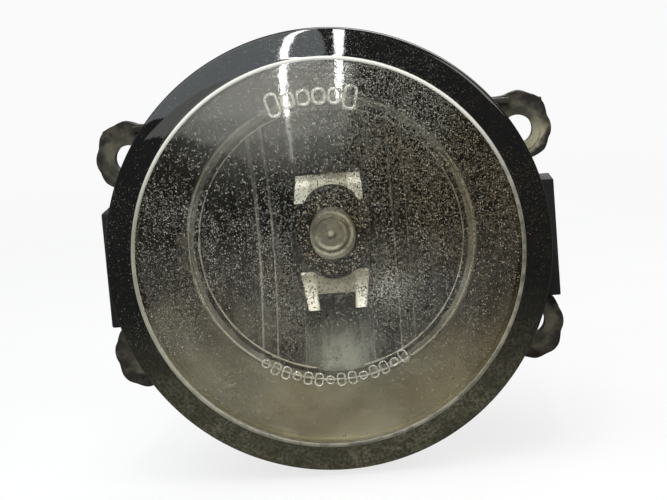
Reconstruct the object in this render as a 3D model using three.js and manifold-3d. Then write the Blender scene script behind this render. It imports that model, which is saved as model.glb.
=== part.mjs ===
// Round front fog light: a 90 mm glass lamp unit that tips in a four-eared mounting frame.
// Millimetres. +Z is up, the lamp shines along -Y, and the optical axis is the Y axis.
// The origin is the centre of the four screw holes, on the plane of the ears' front faces.
import * as THREE from "three";
import { mergeVertices } from "three/addons/utils/BufferGeometryUtils.js";
import Module from "manifold-3d";

const wasm = await Module();
wasm.setup();

// ---- Driving dimensions ----
const GAP = 0.3; // play left between pieces that touch on the real lamp
const ROUND = 40; // sides of a large turned piece
const SMALL_ROUND = 16; // sides of a small turned piece

const LENS_R = 45; // outside radius of the glass
const RIM_Y = -16; // front of the glass's straight edge
const EDGE_T = 3.5; // length of that edge
const CREASE_R = 39.2; // where the rolled shoulder meets the dome
const SHOULDER_RISE = 3.4; // from the start of the shoulder to the edge
const DOME_RISE = 3.8; // from the crease to the middle of the lens
const GLASS_T = 3;
const TONGUE = { inner: 41.2, outer: 42.4, end: -9.4 }; // rib of glass that sits in the sealant

const CHANNEL = { inner: 40, outer: 43.7, floor: -8 }; // groove of the housing that takes the tongue
const FLANGE_R = 44.5;
const FLANGE_BACK = -5.6;

const FOCAL = 9.3; // focal length of the reflector
const APEX_Y = 24; // where its paraboloid would meet the axis
const APERTURE_R = 28; // radius of the bowl's mouth
const LEDGE_R = 30.2; // outside radius of the step round the mouth
const REFLECTOR_FLANGE_R = 33.6;
const REFLECTOR_T = 1.6;
const RIVET_R = 15.2; // distance of the shield's two rivets from the axis
const SHIELD_LEG_W = 12;
const BULB_HOLE_R = 10;
const APERTURE_Y = APEX_Y - APERTURE_R ** 2 / (4 * FOCAL);

const REF_Y = 39.5; // bulb seat: the front face of the housing's bulb flange
const NECK_R = 16.5;
const NECK_BORE_R = 12.8;
const BARREL_R = 10; // plastic barrel of the bulb's base
const NECK_END = REF_Y + 6.5;

const EAR = { x: 40.5, z: 20.25, hole: 3.1 }; // screw holes of the four ears
const PLATE_T = 3;
const FRAME = { inner: 39.2, outer: 43, ribInner: 41.4, ribBack: 6.5 };
const CHEEK = { inner: 43.9, outer: 46.9, front: -4.6, low: -14.3, high: 10 };
const PIVOT = { y: 0.5, r: 2.6 }; // trunnion axis runs along X through (y, z = 0)

const ADJUSTER_Z = -42; // axis of the aiming screw, below the optical axis
const BRACKET = { inner: 4.9, outer: 7.3, low: -46.5, high: -38.2, plate: 9.5, back: 12.5 };
const SCREW_R = 1.8;
const BUSH = { inner: SCREW_R + GAP, outer: 3.4 };
const BALL_R = 3.3;
const BALL_Y = -0.3; // centre of the ball nut

const FIXING = { radius: 30.4, angles: [30, 150, 270], front: 9.5, back: 24 }; // reflector screws
const VENT = { z: 24, spigotR: 3, back: 35.5 };
const RIB_ANGLES = [0, 60, 120, 180, 240, 300];

// ---- Solids ----
const MATERIALS = {
  dustyPlastic: [0x4a483c, 0.75, 0],
  blackPlastic: [0x141413, 0.45, 0],
  glass: [0xb9bcae, 0.08, 0],
  sealant: [0x0e0e0e, 0.7, 0],
  mirror: [0xb8b8b0, 0.18, 1],
  satinMetal: [0x8a877a, 0.4, 1],
  steel: [0x9a9a98, 0.35, 1],
  nylon: [0xd8d4c2, 0.5, 0],
  rubber: [0x161616, 0.85, 0],
  quartz: [0xd8dde0, 0.05, 0],
  tungsten: [0x6b6b6b, 0.5, 1],
  brass: [0xb59a58, 0.35, 1],
  basePlastic: [0x2b2a29, 0.5, 0],
};

// A closed geometry as a solid, turned the right way out.
function solid(geometry) {
  const g = geometry.clone();
  g.deleteAttribute("normal");
  g.deleteAttribute("uv");
  const merged = mergeVertices(g, 1e-4);
  const vertProperties = merged.attributes.position.array;
  const triVerts = new Uint32Array(merged.index.array);
  const made = new wasm.Manifold(new wasm.Mesh({ numProp: 3, vertProperties, triVerts }));
  if (made.volume() > 0) return made;
  const flipped = triVerts.slice();
  for (let i = 0; i < flipped.length; i += 3) {
    flipped[i] = triVerts[i + 1];
    flipped[i + 1] = triVerts[i];
  }
  return new wasm.Manifold(new wasm.Mesh({ numProp: 3, vertProperties, triVerts: flipped }));
}

function joined(...solids) {
  return solids.reduce((all, next) => all.add(next));
}

function cut(body, ...tools) {
  return tools.reduce((rest, tool) => rest.subtract(tool), body);
}

function geometryOf(body) {
  const mesh = body.getMesh();
  const count = mesh.numVert;
  const points = new Float32Array(count * 3);
  for (let i = 0; i < count; i++) {
    points.set(mesh.vertProperties.subarray(i * mesh.numProp, i * mesh.numProp + 3), i * 3);
  }
  const g = new THREE.BufferGeometry();
  g.setAttribute("position", new THREE.BufferAttribute(points, 3));
  g.setIndex(new THREE.BufferAttribute(mesh.triVerts, 1));
  g.computeVertexNormals();
  return g;
}

function piece(name, body, material) {
  const [color, roughness, metalness] = MATERIALS[material];
  const look = new THREE.MeshStandardMaterial({ color, roughness, metalness });
  const mesh = new THREE.Mesh(geometryOf(body), look);
  mesh.name = name;
  return mesh;
}

// Turns a profile of [radius, y] points about the Y axis. It ends on the axis or closes on itself.
function turned(profile, sides = ROUND) {
  const points = profile.map(([r, y]) => new THREE.Vector2(r, y));
  const onAxis = profile[0][0] === 0 && profile.at(-1)[0] === 0;
  if (!onAxis) points.push(points[0].clone());
  return solid(new THREE.LatheGeometry(points, sides));
}

function tube(inner, outer, y0, y1, sides = ROUND) {
  return turned([[inner, y0], [outer, y0], [outer, y1], [inner, y1]], sides);
}

// A rod along Y from y0 to y1, centred on (x, z).
function rod(r, y0, y1, x = 0, z = 0, sides = SMALL_ROUND) {
  const g = new THREE.CylinderGeometry(r, r, y1 - y0, sides);
  return solid(g.translate(x, (y0 + y1) / 2, z));
}

// A rod along X from x0 to x1, centred on (y, 0).
function crossRod(r, x0, x1, y) {
  const g = new THREE.CylinderGeometry(r, r, x1 - x0, SMALL_ROUND);
  return solid(g.rotateZ(Math.PI / 2).translate((x0 + x1) / 2, y, 0));
}

function block([x0, x1], [y0, y1], [z0, z1]) {
  const g = new THREE.BoxGeometry(x1 - x0, y1 - y0, z1 - z0);
  return solid(g.translate((x0 + x1) / 2, (y0 + y1) / 2, (z0 + z1) / 2));
}

// A front view outline in (x, z), made y0 to y1 deep.
function plate(shape, y0, y1) {
  const g = new THREE.ExtrudeGeometry(shape, { depth: y1 - y0, bevelEnabled: false, curveSegments: 8 });
  return solid(g.rotateX(Math.PI / 2).translate(0, y1, 0));
}

// Points of an arc from angle a to angle b in degrees, both ends included.
function arc(cx, cy, rx, ry, a, b, steps) {
  return Array.from({ length: steps + 1 }, (_, i) => {
    const t = THREE.MathUtils.degToRad(a + ((b - a) * i) / steps);
    return [cx + rx * Math.cos(t), cy + ry * Math.sin(t)];
  });
}

function polar(radius, degrees) {
  const t = THREE.MathUtils.degToRad(degrees);
  return [radius * Math.cos(t), radius * Math.sin(t)];
}

// A shallow dome: y at radius r of a cap that rises by rise over the radius reach.
function domeY(r, edgeY, reach, rise) {
  return edgeY - rise * (1 - (r / reach) ** 2);
}

function bowlY(r) {
  return APEX_Y - r ** 2 / (4 * FOCAL);
}

// ---- Lamp unit ----
function lens() {
  const shoulderY = RIM_Y + EDGE_T - 2.4;
  const creaseY = shoulderY - SHOULDER_RISE - 0.6;
  const radii = [0, 10, 20, 30, CREASE_R];
  const dome = radii.map((r) => [r, domeY(r, creaseY, CREASE_R, DOME_RISE)]);
  const shoulder = arc(CREASE_R, shoulderY, LENS_R - CREASE_R, SHOULDER_RISE, -80, 0, 4);
  const innerR = CREASE_R - 0.8;
  const inside = radii
    .slice(0, -1)
    .concat(innerR)
    .reverse()
    .map((r) => [r, domeY(r, creaseY, CREASE_R, DOME_RISE) + GLASS_T]);
  const backY = RIM_Y + EDGE_T;
  return turned([
    ...dome,
    ...shoulder,
    [LENS_R, backY],
    [TONGUE.outer, backY],
    [TONGUE.outer, TONGUE.end],
    [TONGUE.inner, TONGUE.end],
    [TONGUE.inner, backY],
    ...inside,
  ]);
}

function lensSeal() {
  const top = RIM_Y + EDGE_T + 0.7;
  const low = CHANNEL.floor - GAP;
  return turned([
    [CHANNEL.inner + GAP, top],
    [TONGUE.inner - GAP, top],
    [TONGUE.inner - GAP, TONGUE.end + GAP],
    [TONGUE.outer + GAP, TONGUE.end + GAP],
    [TONGUE.outer + GAP, top],
    [CHANNEL.outer - GAP, top],
    [CHANNEL.outer - GAP, low],
    [CHANNEL.inner + GAP, low],
  ]);
}

// The housing's shell between its outside and its inside, both turned profiles.
function housingShell() {
  const wallTop = RIM_Y + EDGE_T + GAP;
  const outside = turned([
    [0, wallTop],
    [FLANGE_R, wallTop],
    [FLANGE_R, FLANGE_BACK],
    [40.8, FLANGE_BACK],
    [37, -0.5],
    [36.6, 5],
    [34.8, 13],
    [30.4, 20.5],
    [21, 28.5],
    [NECK_R, 30.5],
    [NECK_R, NECK_END],
    [0, NECK_END],
  ]);
  const inside = turned([
    [0, wallTop - 1],
    [38.8, wallTop - 1],
    [38.8, -6.6],
    [34.8, -0.8],
    [34.5, 4.8],
    [32.8, 12.2],
    [28.6, 19.2],
    [19.6, 26.8],
    [NECK_BORE_R, 30.6],
    [NECK_BORE_R, REF_Y],
    [BARREL_R + GAP, REF_Y],
    [BARREL_R + GAP, REF_Y + 2.5],
    [NECK_BORE_R, REF_Y + 2.5],
    [NECK_BORE_R, NECK_END + 1],
    [0, NECK_END + 1],
  ]);
  const channel = tube(CHANNEL.inner, CHANNEL.outer, wallTop - 1, CHANNEL.floor);
  return { outside, hollow: joined(inside, channel) };
}

function housing() {
  const { outside, hollow } = housingShell();
  const ribEnvelope = turned([[15.5, 26], [31, 15.5], [34.4, 15], [33, 19], [24, 29], [NECK_R + 1.6, 37], [15.5, 37]]);
  const ribBlades = RIB_ANGLES.map((a) => {
    const g = new THREE.BoxGeometry(18, 24, 2).translate(25, 26, 0);
    return solid(g.rotateY(THREE.MathUtils.degToRad(a)));
  });
  const spigot = rod(VENT.spigotR, 22, VENT.back, 0, VENT.z);
  const trunnions = [crossRod(PIVOT.r, 34, 46, PIVOT.y), crossRod(PIVOT.r, -46, -34, PIVOT.y)];
  const webs = [[34, 40.4], [-40.4, -34]].map((xs) => block(xs, [-5.8, 6], [-1.3, 1.3]));
  const lug = block([-4.5, 4.5], [FLANGE_BACK - 0.2, BALL_Y + 3.5], [-46.4, -37.8]);
  const collarRing = tube(NECK_R - 0.5, NECK_R + 1.6, NECK_END - 3, NECK_END);
  const ribs = joined(...ribBlades).intersect(ribEnvelope);
  const body = cut(joined(outside, ribs, spigot, ...trunnions, ...webs, lug, collarRing), hollow);
  const bosses = FIXING.angles.map((a) => rod(3.6, FIXING.front, FIXING.back, ...polar(FIXING.radius, a)));

  const screwHoles = FIXING.angles.map((a) => rod(1.75, 5, FIXING.back + 1, ...polar(FIXING.radius, a)));
  const ventHole = rod(1.6, 20, VENT.back + 1, 0, VENT.z);
  const pocket = solid(new THREE.SphereGeometry(BALL_R + GAP, SMALL_ROUND, 10)).translate([0, BALL_Y, ADJUSTER_Z]);
  const mouth = rod(2.9, BALL_Y, BALL_Y + 5, 0, ADJUSTER_Z);
  const screwRun = rod(2.5, FLANGE_BACK + 0.3, BALL_Y, 0, ADJUSTER_Z);
  const keyways = [90, 210, 330].map((a) => {
    const g = new THREE.BoxGeometry(4, 4, 6.2).translate(10.4, REF_Y + 1.2, 0);
    return solid(g.rotateY(THREE.MathUtils.degToRad(a)));
  });
  return cut(joined(body, ...bosses), ...screwHoles, ventHole, pocket, mouth, screwRun, ...keyways);
}

function bezelRing() {
  const front = RIM_Y + 2.5;
  const t = 1.2;
  return turned([
    [LEDGE_R + 0.4, APERTURE_Y - GAP],
    [37.6, front + 1],
    [37.8, front],
    [39.8, front],
    [39.8, front + 0.9],
    [38.3, front + 1.1],
    [LEDGE_R + 0.4 + t, APERTURE_Y - GAP],
  ]);
}

// A rod square to the bowl at a shield rivet, above or below the bulb. Distances run back from the bowl.
function rivetRod(side, r, from, to) {
  const tilt = Math.atan(RIVET_R / (2 * FOCAL));
  const g = new THREE.CylinderGeometry(r, r, to - from, 12).translate(0, (from + to) / 2, 0);
  g.rotateX(side * tilt);
  return solid(g.translate(0, bowlY(RIVET_R), side * RIVET_R));
}

function reflector() {
  const bowlRadii = [APERTURE_R, 24, 19, 14, BULB_HOLE_R];
  const inside = bowlRadii.map((r) => [r, bowlY(r)]);
  const outside = bowlRadii.toReversed().map((r) => [r + 0.7, bowlY(r) + REFLECTOR_T]);
  const shell = turned([
    ...inside,
    ...outside.slice(0, -1),
    [APERTURE_R + 1, APERTURE_Y + 3.4],
    [REFLECTOR_FLANGE_R, APERTURE_Y + 2],
    [REFLECTOR_FLANGE_R, APERTURE_Y + 0.4],
    [LEDGE_R, APERTURE_Y],
  ]);
  const bosses = FIXING.angles.map((a) => rod(2.5, APERTURE_Y + 1, FIXING.front - GAP, ...polar(FIXING.radius, a)));
  const pilots = FIXING.angles.map((a) => rod(1.7, APERTURE_Y + 1.6, FIXING.front, ...polar(FIXING.radius, a)));
  return cut(joined(shell, ...bosses), ...pilots, rivetRod(-1, 1.5, -2, 3), rivetRod(1, 1.5, -2, 3));
}

function bulbShield() {
  const front = 1.7;
  const wall = 0.8;
  const R = 8.6;
  const cap = turned([
    [0, front + 0.2], [1.1, front + 0.5], [1.4, front + 1.2], [3.6, front + 1.2], [4, front + 0.2],
    [4.4, front], [7.6, front], [R, front + 1], [R, 8.2], [R - wall, 8.2],
    [R - wall, front + 1.4], [7.2, front + wall], [4.9, front + wall], [4.5, front + 2], [0, front + 2],
  ], 32);
  const legs = [-1, 1].map((side) => {
    const shape = new THREE.Shape([
      [7.8, 7], [8.6, 7], [11.5, 17.9], [16.6, 13.6], [17.1, 14.1], [11.1, 19.2],
    ].map(([z, y]) => new THREE.Vector2(side * z, y)));
    const g = new THREE.ExtrudeGeometry(shape, { depth: SHIELD_LEG_W, bevelEnabled: false });
    return solid(g.translate(0, 0, -SHIELD_LEG_W / 2).rotateY(-Math.PI / 2));
  });
  return cut(joined(cap, ...legs), rivetRod(-1, 1.5, -4, 2), rivetRod(1, 1.5, -4, 2));
}

function shieldRivet(side) {
  const shank = rivetRod(side, 1.15, -2.8, 2.4);
  const head = rivetRod(side, 1.9, -3.4, -2.7);
  const tail = rivetRod(side, 2.1, 2.2, 2.9);
  return joined(shank, head, tail);
}

// A cross-recessed screw along +Y: the head's underside is at y = 0 and its shank points to -Y.
function crossScrew(headR, headT, shankR, length) {
  const head = turned([[0, 0], [headR, 0], [headR, headT * 0.5], [headR * 0.72, headT], [0, headT]], SMALL_ROUND);
  const shank = rod(shankR, -length, 0.1);
  const arm = headR * 0.6;
  const slot = 0.45;
  const deep = [headT * 0.4, headT + 1];
  return cut(joined(head, shank), block([-arm, arm], deep, [-slot, slot]), block([-slot, slot], deep, [-arm, arm]));
}

function ventCap() {
  const inner = VENT.spigotR + GAP;
  return turned([
    [inner, VENT.back - 4.8], [4.8, VENT.back - 4.8], [4.8, VENT.back - 3.6], [4.3, VENT.back - 3], [4.3, VENT.back + 3],
    [3.6, VENT.back + 4], [1, VENT.back + 4], [1, VENT.back + 2.6], [inner, VENT.back + 2.2],
  ], SMALL_ROUND);
}

// ---- Mounting frame ----
function earOutline(sx, sz) {
  const outline = [
    [-9, 6.8], [-1.8, 7], [-1.2, 7.7], [0.6, 8.1], [1.3, 7.5],
    ...arc(0.8, 2, 5.4, 5.4, 78, 8, 5),
    [6.9, 0.8], [7, -0.9], [6.4, -1.9], [2.6, -5.7], [-2, -7.6], [-9, -9],
  ];
  return new THREE.Shape(outline.map(([u, v]) => new THREE.Vector2(sx * (EAR.x + u), sz * (EAR.z + v))));
}

function mountingFrame() {
  const corners = [[1, 1], [-1, 1], [1, -1], [-1, -1]];
  const ears = corners.map(([sx, sz]) => plate(earOutline(sx, sz), 0, PLATE_T));
  const span = (a, b, s) => (s > 0 ? [a, b] : [-b, -a]);
  const edgeRibs = corners.map(([sx, sz]) =>
    block(span(32, EAR.x - 1.4, sx), [-2.4, 0.1], span(EAR.z + 5.9, EAR.z + 6.9, sz)));
  const backRibs = corners.map(([sx, sz]) =>
    block(span(38, EAR.x + 5.6, sx), [PLATE_T - 0.1, FRAME.ribBack], span(EAR.z + 4.8, EAR.z + 6, sz)));
  const ring = joined(
    tube(FRAME.inner, FRAME.outer, 0, PLATE_T),
    tube(FRAME.ribInner, FRAME.outer, PLATE_T - 0.1, FRAME.ribBack),
  );
  const cheeks = [1, -1].flatMap((s) => [
    block(span(CHEEK.inner, CHEEK.outer, s), [CHEEK.front, FRAME.ribBack], [CHEEK.low, CHEEK.high]),
    block(span(36, CHEEK.outer - 0.1, s), [0, PLATE_T], [CHEEK.low + 0.1, CHEEK.high - 0.1]),
  ]);
  const bracket = block([-BRACKET.outer, BRACKET.outer], [0, BRACKET.back], [BRACKET.low, BRACKET.high]);
  const body = cut(joined(...ears, ...edgeRibs, ...backRibs, ...cheeks), rod(FRAME.inner, -9, 20, 0, 0, ROUND));

  const lugSpace = block([-BRACKET.inner, BRACKET.inner], [-1, BRACKET.plate], [BRACKET.low - 1, -37]);
  const earHoles = corners.map(([sx, sz]) => rod(EAR.hole, -3, 8, sx * EAR.x, sz * EAR.z));
  const trunnionSlots = [1, -1].map((s) => block(span(30, CHEEK.inner, s), [-1, FRAME.ribBack + 1], [-4.2, 4.2]));
  return cut(
    joined(body, ring, bracket), lugSpace, ...earHoles, ...trunnionSlots,
    crossRod(PIVOT.r + GAP, -50, 50, PIVOT.y), rod(BUSH.outer + GAP, 8, 14, 0, ADJUSTER_Z),
  );
}

// ---- Aiming screw, on its own axis ----
function adjusterBush() {
  const { inner, outer } = BUSH;
  const [front, back] = [BRACKET.plate - GAP, BRACKET.back + GAP];
  return turned([
    [inner, front - 0.9], [outer + 1.2, front - 0.9], [outer + 1.2, front], [outer, front],
    [outer, back], [outer + 0.5, back + 0.4], [outer, back + 0.9], [inner, back + 0.9],
  ], SMALL_ROUND);
}

function adjusterScrew() {
  const collar = BRACKET.back + 1.5;
  const shaft = rod(SCREW_R, -2, collar + 0.1);
  const flange = rod(5.2, collar, collar + 1.6);
  const head = rod(4.3, collar + 1.5, collar + 6, 0, 0, 6);
  const deep = [collar + 3.5, collar + 7];
  return cut(joined(shaft, flange, head), block([-2.6, 2.6], deep, [-0.6, 0.6]), block([-0.6, 0.6], deep, [-2.6, 2.6]));
}

function adjusterRetainer() {
  const back = BRACKET.plate - GAP * 2 - 0.9;
  return tube(SCREW_R + GAP, 4.4, back - 1, back, SMALL_ROUND);
}

function ballNut() {
  const bore = SCREW_R + GAP;
  const a = THREE.MathUtils.radToDeg(Math.acos(bore / BALL_R));
  return turned(arc(0, 0, BALL_R, BALL_R, -a, a, 8), SMALL_ROUND);
}

// ---- Bulb, in a frame whose y = 0 is the bulb seat ----
const GLASS = { r: 5.8, tip: -35, neck: -14, end: -6.6, wall: 0.9, bore: 2.3 };
const SHROUD = { x: 8.5, front: 10, back: 22.4, mouth: -28, floor: -15, wall: 1.5 };

function bulbGlass() {
  const { r, tip, neck, end, wall, bore } = GLASS;
  const nose = arc(0, tip + 5, r, 5, -90, 0, 4);
  const inside = arc(0, tip + 5, r - wall, 5 - wall, 0, -90, 4);
  nose[0][0] = 0;
  inside.at(-1)[0] = 0;
  const stem = [[r, neck - 2], [4, neck], [4, end], [bore, end], [bore, neck], [r - wall, neck - 2.4]];
  return turned([...nose, ...stem, ...inside], 20);
}

function bulbCollar() {
  return tube(4.3, 7.4, -13, -6.6, 24);
}

function bulbBase() {
  const barrel = turned([
    [0, -6.3], [8.4, -6.3], [8.8, -5.6], [8.8, -2.4], [BARREL_R, -2.4], [BARREL_R, 6.9], [15, 6.9], [15, 9.2],
    [14, 10.2], [0, 10.2],
  ], 32);
  const lugs = [30, 150, 270].map((a) => {
    const g = new THREE.BoxGeometry(3.6, 1.9, 5.2).translate(10, -1.25, 0);
    return solid(g.rotateY(THREE.MathUtils.degToRad(a)));
  });
  const { x, front, back, mouth, floor, wall } = SHROUD;
  const shroud = block([-x, x], [front, back], [mouth, 9]);
  const wings = [[x - 0.1, x + 3.4], [-x - 3.4, -x + 0.1]].map((xs) => block(xs, [front, front + 7], [-5, 8]));
  const latch = block([-2.6, 2.6], [back - 0.1, back + 1.4], [mouth + 3, mouth + 7]);
  const keys = [-4.6, 4.6].map((kx) => block([kx - 0.7, kx + 0.7], [front - 0.9, front + 0.1], [mouth, -15.5]));
  const socket = block([-x + wall, x - wall], [front + wall, back - wall], [mouth - 1, floor]);
  const slots = [-1, 1].map((s) => block([s * 3.3 - 1.8, s * 3.3 + 1.8], [15.4, 17], [floor - 1, floor + 5]));
  return cut(joined(barrel, ...lugs, shroud, ...wings, latch, ...keys), socket, ...slots);
}

function bulbORing() {
  return turned(arc(11.4, 4.6, 1.1, 1.1, 0, 300, 5), 24);
}

function wire(points, r, steps) {
  const section = new THREE.Shape();
  section.absarc(0, 0, r, 0, Math.PI * 2);
  const path = new THREE.CatmullRomCurve3(points.map((p) => new THREE.Vector3(...p)));
  return solid(new THREE.ExtrudeGeometry(section, { extrudePath: path, steps, curveSegments: 3 }));
}

const COIL = { turns: 5, r: 0.9, from: -27.4, to: -22.6 };

function filament() {
  const count = COIL.turns * 6;
  const points = Array.from({ length: count + 1 }, (_, i) => {
    const t = (i / count) * COIL.turns * Math.PI * 2;
    return [COIL.r * Math.cos(t), COIL.from + ((COIL.to - COIL.from) * i) / count, COIL.r * Math.sin(t)];
  });
  return wire(points, 0.2, count);
}

function filamentLeads() {
  const { neck, end } = GLASS;
  const { from, to } = COIL;
  const long = [[-1.5, end, 0], [-1.5, neck, 0], [-3.5, neck - 4, 0], [-3.5, from, 0], [-2, from - 1.5, 0], [1.2, from - 1.3, 0]];
  const short = [[1.5, end, 0], [1.5, neck, 0], [1.5, to + 3, 0], [1.2, to + 1.4, 0], [0, to + 1, 0]];
  return [wire(long, 0.35, 20), wire(short, 0.35, 12)];
}

function terminal() {
  const blade = block([-1.4, 1.4], [15.8, 16.6], [-23.2, -10.6]);
  const tip = solid(new THREE.CylinderGeometry(0.5, 1.4, 1.1, 4, 1).rotateY(Math.PI / 4).rotateX(-Math.PI / 2)
    .scale(1, 0.4, 1).translate(0, 16.2, -23.6));
  return joined(blade, tip);
}

// ---- Assembly ----
const light = new THREE.Group();

const frame = new THREE.Group();
frame.add(piece("mounting_frame", mountingFrame(), "dustyPlastic"));

const aiming = new THREE.Group();
aiming.position.set(0, 0, ADJUSTER_Z);
const nut = piece("adjuster_ball_nut", ballNut(), "nylon");
nut.position.y = BALL_Y;
aiming.add(
  piece("adjuster_bush", adjusterBush(), "nylon"),
  piece("adjuster_screw", adjusterScrew(), "nylon"),
  piece("adjuster_retainer", adjusterRetainer(), "steel"),
  nut,
);

const lamp = new THREE.Group();
const vent = piece("vent_cap", ventCap(), "rubber");
const membrane = piece("vent_membrane", rod(2.9, VENT.back + 0.4, VENT.back + 1.2), "nylon");
vent.position.z = VENT.z;
membrane.position.z = VENT.z;
lamp.add(
  piece("lens", lens(), "glass"),
  piece("lens_seal", lensSeal(), "sealant"),
  piece("housing", housing(), "blackPlastic"),
  piece("bezel_ring", bezelRing(), "satinMetal"),
  piece("reflector", reflector(), "mirror"),
  piece("bulb_shield", bulbShield(), "satinMetal"),
  piece("shield_rivet_lower", shieldRivet(-1), "steel"),
  piece("shield_rivet_upper", shieldRivet(1), "steel"),
  vent,
  membrane,
);
FIXING.angles.forEach((angle, i) => {
  const screw = piece(`reflector_screw_${i + 1}`, crossScrew(3.2, 2.2, 1.4, 18.4), "steel");
  const [x, z] = polar(FIXING.radius, angle);
  screw.position.set(x, FIXING.back + GAP, z);
  lamp.add(screw);
});

const bulb = new THREE.Group();
bulb.position.y = REF_Y;
const [leadLong, leadShort] = filamentLeads();
bulb.add(
  piece("bulb_base", bulbBase(), "basePlastic"),
  piece("bulb_o_ring", bulbORing(), "rubber"),
  piece("bulb_metal_collar", bulbCollar(), "steel"),
  piece("bulb_glass", bulbGlass(), "quartz"),
  piece("filament", filament(), "tungsten"),
  piece("filament_lead_long", leadLong, "tungsten"),
  piece("filament_lead_short", leadShort, "tungsten"),
);
for (const [name, x] of [["terminal_left", -3.3], ["terminal_right", 3.3]]) {
  const pin = piece(name, terminal(), "brass");
  pin.position.x = x;
  bulb.add(pin);
}

light.add(frame, aiming, lamp, bulb);
export default light;
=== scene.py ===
"""Looks of a round fog light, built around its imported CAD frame.

Metres in the frame of the CAD: X right, Z up, the lamp shines along -Y. Sizes below are in
millimetres and are scaled by MM where a mesh is made.
"""
import math

import bmesh
import bpy
from mathutils import Matrix, Vector


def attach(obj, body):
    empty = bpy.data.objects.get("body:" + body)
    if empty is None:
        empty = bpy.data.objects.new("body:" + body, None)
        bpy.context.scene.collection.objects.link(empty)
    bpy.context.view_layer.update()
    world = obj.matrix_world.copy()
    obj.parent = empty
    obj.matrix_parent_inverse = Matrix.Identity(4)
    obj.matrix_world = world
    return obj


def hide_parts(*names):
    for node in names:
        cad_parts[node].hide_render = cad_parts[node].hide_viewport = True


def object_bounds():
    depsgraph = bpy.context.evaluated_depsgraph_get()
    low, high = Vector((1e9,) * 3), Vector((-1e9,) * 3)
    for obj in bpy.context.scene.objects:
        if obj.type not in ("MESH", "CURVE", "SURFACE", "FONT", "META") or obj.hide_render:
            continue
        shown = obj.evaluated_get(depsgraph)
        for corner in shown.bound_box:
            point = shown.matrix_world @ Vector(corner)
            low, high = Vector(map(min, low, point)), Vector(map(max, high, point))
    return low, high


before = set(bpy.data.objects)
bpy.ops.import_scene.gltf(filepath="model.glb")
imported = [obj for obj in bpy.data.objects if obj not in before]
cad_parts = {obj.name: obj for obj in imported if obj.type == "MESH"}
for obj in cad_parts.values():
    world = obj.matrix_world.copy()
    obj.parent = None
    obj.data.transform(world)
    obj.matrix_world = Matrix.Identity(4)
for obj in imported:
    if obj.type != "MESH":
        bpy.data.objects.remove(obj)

MM = 0.001
TAU = 2 * math.pi
cad_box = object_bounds()
scene = bpy.context.scene

# ---------------------------------------------------------------- dimensions
# Lens: its rim, the crease between the dome and the outer band, and the two arcs of marks.
LENS_R = 45.0
CREASE_R = 39.2
CREASE_Y = -18.9
DOME_RISE = 3.8
SHOULDER_Y = -14.9
LENS_BACK_Y = -12.5
GLASS_T = 3.0
UPPER_MARKS_R = 31.8
LOWER_MARKS_R = 25.2
# Reflector: a paraboloid, cut off at its mouth and open round the bulb.
FOCAL = 9.3
APEX_Y = 24.0
APERTURE_R = 28.0
APERTURE_Y = APEX_Y - APERTURE_R ** 2 / (4 * FOCAL)
BULB_HOLE_R = 10.0
# Edges of the flutes along X, and the middle and width of each rib between them.
FLUTES = (-28, -22, -16.2, -13.2, -7.3, 7.3, 13.2, 16.2, 22, 28)
RIBS = ((-16.2, 1.1), (-13.2, 0.7), (-7.3, 0.35), (7.3, 0.3), (13.2, 0.5), (16.2, 0.35))
# Bulb shield: the flat part of its straps, its front, and the middles of its disc and cup in (x, z).
STRAP_Y = 11.9
SHIELD_Y = 1.7
DISC_CENTRE = (0.1, 1.3)
CUP_CENTRE = (0.5, 1.2)
# Housing and frame.
SCREW_RING_R = 30.4
VENT_Z = 24
PIVOT_Y = 0.5
ADJUSTER_Z = -42.0
BALL_Y = -0.3
EAR_X = 40.5
EAR_Z = 20.25
EAR_HOLE_R = 3.1
CHEEK_X = 43.9


# ---------------------------------------------------------------- mesh helpers
def object_from(name, verts, faces, scale=MM):
    """A new mesh object, from points in millimetres unless scale says otherwise."""
    mesh = bpy.data.meshes.new(name)
    mesh.from_pydata([tuple(c * scale for c in v) for v in verts], [], faces)
    mesh.validate()
    obj = bpy.data.objects.new(name, mesh)
    scene.collection.objects.link(obj)
    return obj


def finish_mesh(obj, crease=32.0):
    """Welds, turns every face out, and shades smooth except over edges sharper than crease degrees."""
    bm = bmesh.new()
    bm.from_mesh(obj.data)
    bmesh.ops.remove_doubles(bm, verts=bm.verts, dist=0.001 * MM)
    bmesh.ops.recalc_face_normals(bm, faces=bm.faces)
    limit = math.radians(crease)
    for face in bm.faces:
        face.smooth = True
    for edge in bm.edges:
        edge.smooth = len(edge.link_faces) == 2 and edge.calc_face_angle(0) < limit
    bm.to_mesh(obj.data)
    bm.free()
    return obj


def lathe(name, profile, sides=144, crease=32.0):
    """Turns [radius, y] points about the Y axis. The profile runs from axis to axis or closes on itself."""
    on_axis = profile[0][0] == 0
    verts, rings = [], []
    for r, y in profile:
        if r == 0:
            rings.append([len(verts)] * sides)
            verts.append((0, y, 0))
            continue
        rings.append(list(range(len(verts), len(verts) + sides)))
        verts += [(r * math.cos(TAU * i / sides), y, r * math.sin(TAU * i / sides)) for i in range(sides)]
    faces = []
    for a in range(len(rings) - 1 if on_axis else len(rings)):
        here, there = rings[a], rings[(a + 1) % len(rings)]
        for i in range(sides):
            j = (i + 1) % sides
            corners = [here[i], here[j], there[j], there[i]]
            loop = [v for n, v in enumerate(corners) if v not in corners[:n]]
            if len(loop) > 2:
                faces.append(loop)
    return finish_mesh(object_from(name, verts, faces), crease)


def beyond(y, profile):
    """A profile of [radius, depth] points moved along Y by y."""
    return [(r, y + depth) for r, depth in profile]


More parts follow.
